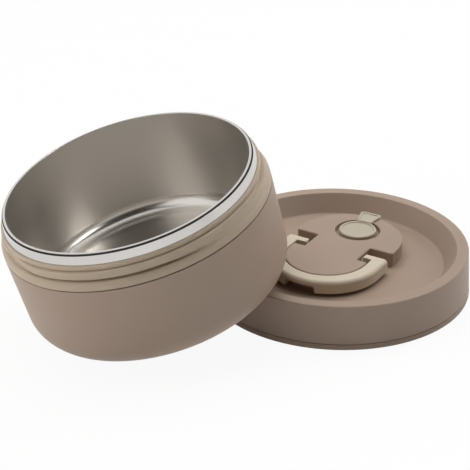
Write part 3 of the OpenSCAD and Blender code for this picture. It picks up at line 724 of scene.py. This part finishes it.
def handleStations(s):
    # A station is (kind, place, inner radius, underside, inset); arms run along the boss, the bow across it
    inner, low, notchTop, half = s["inner"], s["low"], s["notchTop"], s["notchHalf"]
    end, cove, notch, edge = s["endRound"], s["pegCove"], s["notchRound"], s["notchEdge"]
    turns = [math.radians(90 * k / s["endSteps"]) for k in range(s["endSteps"] + 1)]
    quarter = [(1 - math.sin(t), 1 - math.cos(t)) for t in turns]  # falls to nothing, and grows from nothing
    arm = [("arm", s["armEnd"] - end * b, s["pegIn"], low, end * a) for a, b in quarter]
    arm += [("arm", s["pegFront"] + end * a, s["pegIn"] + end * b, low, 0) for a, b in quarter]
    arm += [("arm", s["pegFront"] - cove * b, inner - cove * a, low, 0) for a, b in quarter]
    arm += [("arm", at, inner, low, 0) for at in s["armRows"]]
    middle = (inner + s["outer"]) / 2
    bow = [("bow", middle * math.sin(math.radians(t)), inner, low, 0) for t in s["bowDegrees"]]
    bow += [("bow", at, inner, low, 0) for at in s["bowRows"]]
    bow += [("bow", half + edge * a, inner, low + edge * b, 0) for a, b in quarter]
    bow += [("bow", half - notch * b, inner, notchTop - notch * a, 0) for a, b in quarter]
    bow += [("bow", at, inner, notchTop, 0) for at in s["notchRows"]]
    oneSide = arm + bow
    centre = [(1, "bow", 0.0, inner, notchTop, 0)]
    return [(1,) + h for h in oneSide] + centre + [(-1,) + h for h in reversed(oneSide)]


def makeHandle(s):
    mesh = bmesh.new()
    middle = (s["inner"] + s["outer"]) / 2
    rings = []
    for side, kind, at, inner, low, inset in handleStations(s):
        ring = []
        for p in handleSection(s, inner, low, inset):
            if kind == "arm":
                spot = (at, side * p.x)
            else:
                # Square to the bow near the arms, and straight across where the notch is cut
                share = min(max((at - s["squareFrom"]) / s["squareOver"], 0), 1)
                turn = math.asin(min(at / middle, 1)) * share
                turn += math.asin(at / p.x) * (1 - share) if share < 1 else 0
                spot = (-s["shift"] - p.x * math.cos(turn), side * p.x * math.sin(turn))
            ring.append(mesh.verts.new((spot[0] * mm, spot[1] * mm, p.y * mm)))
        rings.append(ring)
    bridgeAll(mesh, rings)
    fillPlate(mesh, rings[0])
    fillPlate(mesh, rings[-1])
    handle = makePiece("carryHandle", mesh, onBoss, [beigePolypropylene])
    for side in (-1, 1):
        length = s["pegIn"] + s["pinBite"] - s["pinEnd"]
        combine(handle, pivotRod("handlePin", s["pin"], s["pinEnd"], length, side), "UNION")
    settle(handle, "handle", "handle")


makeHandle(carryHandle)

# Vent plug: a round disc with a raised rim, a stem, and a flared pull tab with a raised border
ventPlug = {"stem": 4.4, "stemFoot": 13.8, "stemPoint": 0.8, "stemRound": 0.3, "stemRoot": 0.2, "disc": 10.7,
            "discUnder": 20.8, "discRound": 0.4, "discTop": 23.9, "rimTop": 24.45, "rim": 1.5,
            "rimRound": 0.7, "rimInRound": 0.35, "rimFall": 0.25, "rimCove": 0.15, "segments": 128,
            "tabStart": 9.4, "tabIn": 4.9, "tabNeck": 12.6, "tabReach": 22.2, "tabShort": 21.3,
            "tabLeft": 6.5, "tabRight": 7.5, "tabRound": 2.2, "tabCorner": 0.6, "tabWaist": 6.0,
            "tabUnder": 23.9, "tabTop": 25.1, "border": 1.5, "panelDrop": 0.6, "tabDegrees": 6}
# The tab's edges in profile, as (outwards, up) from its underside, its top, its border and its sunken panel
tabProfile = {"under": [(-0.25, 0), (-0.07, 0.07), (0, 0.25)], "top": [(0, -0.5), (-0.15, -0.15), (-0.5, 0)],
              "border": [(0.35, 0), (0, -0.15)], "panel": [(-0.12, 0.08), (-0.22, 0)]}


def makePlug(s):
    rimIn = s["disc"] - s["rim"]
    path = roundCorners([
        (0, s["stemFoot"], 0), (s["stem"] - s["stemPoint"], s["stemFoot"], s["stemRound"]),
        (s["stem"], s["stemFoot"] + s["stemPoint"], s["stemRound"]),
        (s["stem"], s["discUnder"], s["stemRoot"]), (s["disc"], s["discUnder"], s["discRound"]),
        (s["disc"], s["rimTop"], s["rimRound"]), (rimIn, s["rimTop"], s["rimInRound"]),
        (rimIn - s["rimFall"], s["discTop"], s["rimCove"]), (0, s["discTop"], 0)], closed=False)
    mesh = bmesh.new()
    spin(mesh, path, s["segments"])
    plug = makePiece("ventPlug", mesh, onPlug, [pressedSilicone])
    outline = roundCorners([
        (s["tabStart"], -s["tabIn"], s["tabCorner"]), (s["tabNeck"], -s["tabIn"], s["tabWaist"]),
        (s["tabShort"], -s["tabRight"], s["tabRound"]), (s["tabReach"], s["tabLeft"], s["tabRound"]),
        (s["tabNeck"], s["tabIn"], s["tabWaist"]), (s["tabStart"], s["tabIn"], s["tabCorner"])],
        degreesPerStep=s["tabDegrees"])
    starts = {"under": (0, s["tabUnder"]), "top": (0, s["tabTop"]), "border": (-s["border"], s["tabTop"]),
              "panel": (-s["border"], s["tabTop"] - s["panelDrop"])}
    rows = [(starts[edge][0] + out, starts[edge][1] + up)
            for edge in tabProfile for out, up in tabProfile[edge]]
    tab = bmesh.new()
    levels = [ringOf(tab, offsetLoop(outline, out), z) for out, z in rows]
    bridgeAll(tab, levels)
    fillPlate(tab, levels[0])
    fillPlate(tab, levels[-1])
    combine(plug, makePiece("plugTab", tab, onPlug, [pressedSilicone]), "UNION")
    settle(plug, "vent_plug", "vent_plug")


makePlug(ventPlug)

# Pieces inside the walls keep their own solids and get the finish that they have in the factory
insidePieces = {"jacket_bottom": satinSteel, "getter": sinteredGetter, "seal_off_plug": satinSteel,
                "neck_seal": pressedSilicone, "base_cushion": cushionRubber, "lid_foam": expandedFoam}
for node, material in insidePieces.items():
    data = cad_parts[node].data
    data.materials.clear()
    data.materials.append(material)
print("inside pieces finished")

# Studio in metres: pale floor, white surroundings and a dark card in front; grain and drop are in mm
studio = {"floor": 3.0, "floorSegments": 64, "floorColour": "#f2f1ef", "floorLift": 0.93, "floorGrain": 25,
          "grainDetail": 2.0, "floorRough": (0.85, 0.95), "floorDrop": 0.2, "world": 0.22,
          "worldColour": "#fffefc", "white": "#ffffff"}
darkCard = {"away": 1.2, "low": 0.3, "high": 1.7, "bend": 0.6, "back": 0.1, "half": 1.3, "colour": "#332f2c",
            "rough": 0.95}
# Lamps: where each one stands, what it faces, its size and its power in watts
lamps = {
    "topSoftbox": {"spot": (0.0, 0.28, 1.25), "target": (0, 0, 0.03), "size": (1.5, 0.9), "power": 12.8},
    "topStrip": {"spot": (0.0, -0.1, 1.2), "target": (0, 0, 0.03), "size": (1.4, 0.25), "power": 1.2,
                 "onlyShows": True},
    "cornerLamp": {"spot": (0.75, -0.8, 1.15), "target": (0, 0, 0.03), "size": (0.6, 0.35), "power": 4.0,
                   "onlyShows": True},
    "leftSoftbox": {"spot": (-1.3, 0.2, 0.55), "target": (-0.05, 0, 0.05), "size": (0.8, 0.8), "power": 8.4},
    "rightSoftbox": {"spot": (1.25, 0.35, 0.65), "target": (0.05, 0, 0.03), "size": (0.8, 0.8), "power": 7.2},
    "floorSoftbox": {"spot": (-0.1, -0.62, 0.95), "target": (-0.1, -0.62, 0), "size": (0.8, 0.3),
                     "power": 2.6, "spread": 50}}  # lights just the floor, which throws soft light back


def whereSeen(tree):
    # One for what the camera, metal or glass shows, nothing for light that falls on the object
    path = addNode(tree, "ShaderNodeLightPath")
    seen = path.outputs["Is Camera Ray"]
    for kind in ("Is Glossy Ray", "Is Transmission Ray"):
        both = addNode(tree, "ShaderNodeMath", {"operation": "MAXIMUM"})
        tree.links.new(seen, both.inputs[0])
        tree.links.new(path.outputs[kind], both.inputs[1])
        seen = both.outputs["Value"]
    return seen


def makeFloor(s):
    turns = [2 * math.pi * i / s["floorSegments"] for i in range(s["floorSegments"])]
    radius = s["floor"] / mm
    mesh = bmesh.new()
    fillPlate(mesh, ringOf(mesh, [(radius * math.cos(t), radius * math.sin(t)) for t in turns], 0))
    material, tree = newMaterial("paleStudioFloor")
    grain = addNode(tree, "ShaderNodeTexNoise",
                    {"Scale": perMetre / s["floorGrain"], "Detail": s["grainDetail"]})
    rough = addNode(tree, "ShaderNodeMapRange",
                    {"To Min": s["floorRough"][0], "To Max": s["floorRough"][1]},
                    {"Value": grain.outputs["Fac"]})
    paint = addNode(tree, "ShaderNodeBsdfPrincipled", {"Base Color": toLinear(s["floorColour"])},
                    {"Roughness": rough.outputs["Result"]})
    white = addNode(tree, "ShaderNodeEmission", {"Strength": 1.0})
    lift = addNode(tree, "ShaderNodeMath", {"operation": "MULTIPLY"})
    tree.links.new(whereSeen(tree), lift.inputs[0])
    lift.inputs[1].default_value = s["floorLift"]
    blend = addNode(tree, "ShaderNodeMixShader", None, {"Fac": lift.outputs["Value"]})
    tree.links.new(paint.outputs["BSDF"], blend.inputs[1])
    tree.links.new(white.outputs["Emission"], blend.inputs[2])
    addNode(tree, "ShaderNodeOutputMaterial", None, {"Surface": blend.outputs["Shader"]})
    floor = makePiece("studioFloor", mesh, Matrix.Translation((0, 0, -s["floorDrop"] * mm)), [material])


def makeCard(s):
    # Keeps white off the fronts and gives the steel something dark to show; the camera itself doesn't see it
    path = roundCorners([
        (-s["away"], s["low"], 0), (-s["away"], s["high"], s["bend"]), (s["back"], s["high"], 0)],
        closed=False)
    mesh = bmesh.new()
    rows = [[mesh.verts.new((x, p.x, p.y)) for x in (-s["half"], s["half"])] for p in path]
    for a, b in zip(rows, rows[1:]):
        mesh.faces.new((a[0], b[0], b[1], a[1]))
    material, tree = newMaterial("darkFeltCard")
    felt = addNode(tree, "ShaderNodeBsdfPrincipled",
                   {"Base Color": toLinear(s["colour"]), "Roughness": s["rough"]})
    addNode(tree, "ShaderNodeOutputMaterial", None, {"Surface": felt.outputs["BSDF"]})
    card = makePiece("darkCard", mesh, Matrix(), [material])
    card.visible_camera = False


def makeWorld(s):
    world = bpy.data.worlds.new("whiteSurround")
    world.use_nodes = True
    tree = world.node_tree
    tree.nodes.clear()
    lit = addNode(tree, "ShaderNodeBackground",
                  {"Color": toLinear(s["worldColour"]), "Strength": s["world"]})
    white = addNode(tree, "ShaderNodeBackground", {"Color": toLinear(s["white"]), "Strength": 1.0})
    blend = addNode(tree, "ShaderNodeMixShader", None, {"Fac": whereSeen(tree)})
    tree.links.new(lit.outputs["Background"], blend.inputs[1])
    tree.links.new(white.outputs["Background"], blend.inputs[2])
    addNode(tree, "ShaderNodeOutputWorld", None, {"Surface": blend.outputs["Shader"]})
    bpy.context.scene.world = world


def addLamp(name, s):
    lamp = bpy.data.lights.new(name, "AREA")
    lamp.shape = "RECTANGLE"
    lamp.size, lamp.size_y = s["size"]
    lamp.energy = s["power"]
    lamp.spread = math.radians(s.get("spread", 180))
    box = bpy.data.objects.new(name, lamp)
    box.location = s["spot"]
    box.rotation_euler = (Vector(s["target"]) - Vector(s["spot"])).to_track_quat("-Z", "Y").to_euler()
    # Softboxes light the object and don't show in the steel; the strip and the corner lamp only show in it
    box.visible_glossy = s.get("onlyShows", False)
    box.visible_diffuse = not s.get("onlyShows", False)
    bpy.context.scene.collection.objects.link(box)


makeFloor(studio)
makeCard(darkCard)
makeWorld(studio)
for name, lamp in lamps.items():
    addLamp(name, lamp)
print("studio ready")

# Camera at the photograph's viewing angle, level with the horizon
photoCamera = {"fromLid": (-345.0, -773.4, 457.8), "towards": (0.3069, 0.8381, -0.4511), "lens": 128.8,
               "sensor": 36}
camera = bpy.data.cameras.new("photoCamera")
camera.sensor_fit = "HORIZONTAL"
camera.sensor_width = photoCamera["sensor"]
camera.lens = photoCamera["lens"]
viewer = bpy.data.objects.new("photoCamera", camera)
viewer.location = lidCentre + Vector(photoCamera["fromLid"]) * mm
viewer.rotation_euler = Vector(photoCamera["towards"]).to_track_quat("-Z", "Y").to_euler()
bpy.context.scene.collection.objects.link(viewer)
bpy.context.scene.camera = viewer

bpy.context.view_layer.update()
